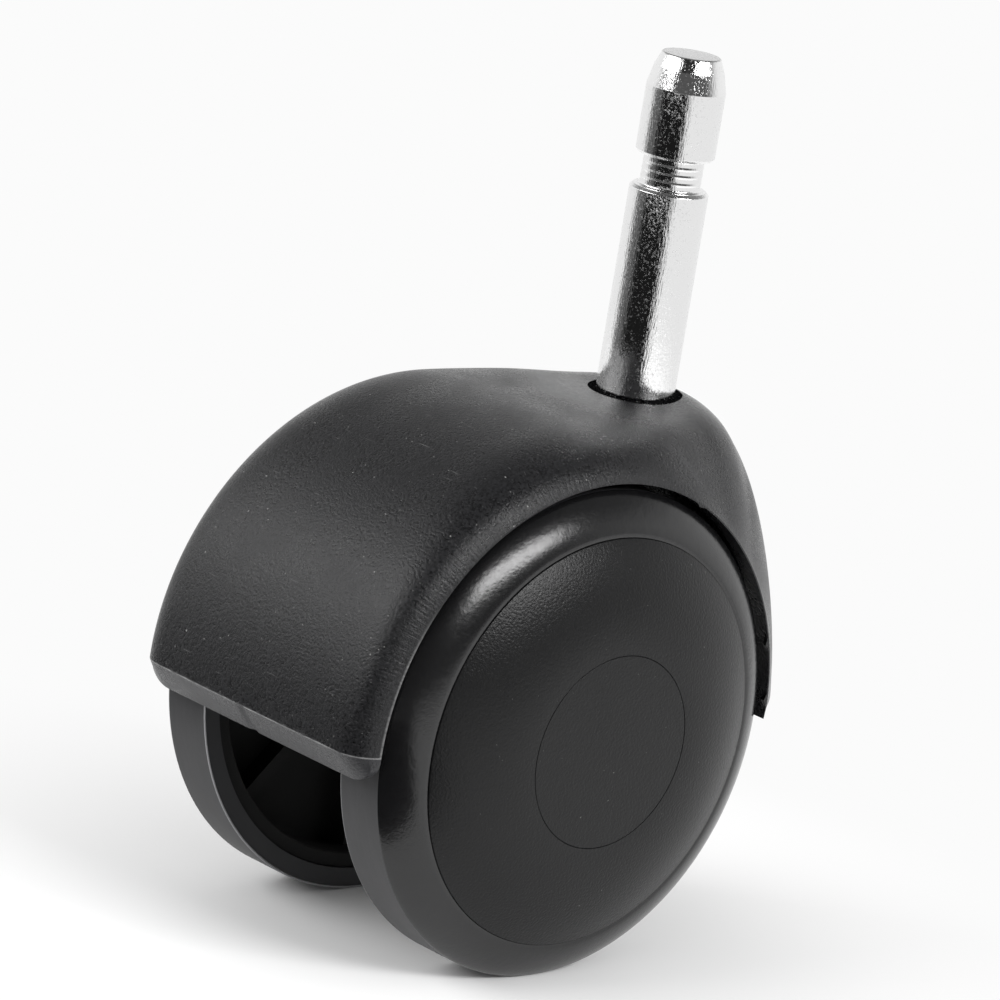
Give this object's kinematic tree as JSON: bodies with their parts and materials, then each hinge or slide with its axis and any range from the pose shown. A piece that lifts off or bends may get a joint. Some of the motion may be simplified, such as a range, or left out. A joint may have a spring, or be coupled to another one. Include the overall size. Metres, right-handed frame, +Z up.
{
  "type": "twin-wheel swivel caster",
  "caption": "Hooded twin-wheel swivel caster for an office chair: domed black hood over paired wheels on one axle, with a plated grip-neck stem that swivels in the hood.",
  "frame": {"origin": "on the stem's axis, at the step where the stem's mounting length starts, just above the hood", "axes": "+X along the axle to the right wheel, +Y from the axle to the hood's nose, +Z up the stem"},
  "size_m": [0.0428, 0.0632, 0.0894],
  "materials": {
    "hood_nylon": "black moulded nylon with a fine grain and a low sheen",
    "plated_steel": "bright plated turned steel",
    "bush_steel": "plain drawn steel, oiled",
    "spring_steel": "dark hardened spring steel",
    "axle_steel": "bright drawn steel",
    "wheel_nylon": "black moulded nylon, smooth and slightly shiny",
    "tread_plastic": "black hard plastic band, smooth",
    "cap_nylon": "black moulded nylon with a fine spark-eroded grain"
  },
  "bodies": {
    "stem": {"stem": "plated_steel", "snap_ring": "spring_steel"},
    "hood": {"hood": "hood_nylon", "swivel_bush": "bush_steel", "thrust_disc": "bush_steel", "axle": "axle_steel", "right_axle_clip": "spring_steel", "left_axle_clip": "spring_steel"},
    "right_wheel": {"right_wheel": "wheel_nylon", "right_tread": "tread_plastic", "right_wheel_cap": "cap_nylon"},
    "left_wheel": {"left_wheel": "wheel_nylon", "left_tread": "tread_plastic", "left_wheel_cap": "cap_nylon"}
  },
  "joints": [
    {"name": "swivel", "type": "hinge", "parent": "stem", "child": "hood", "pos_m": [0, 0, 0], "axis": [0, 0, 1], "continuous": true},
    {"name": "right_wheel_spin", "type": "hinge", "parent": "hood", "child": "right_wheel", "pos_m": [0, -0.0168, -0.0309], "axis": [1, 0, 0], "continuous": true},
    {"name": "left_wheel_spin", "type": "hinge", "parent": "hood", "child": "left_wheel", "pos_m": [0, -0.0168, -0.0309], "axis": [1, 0, 0], "continuous": true}
  ]
}
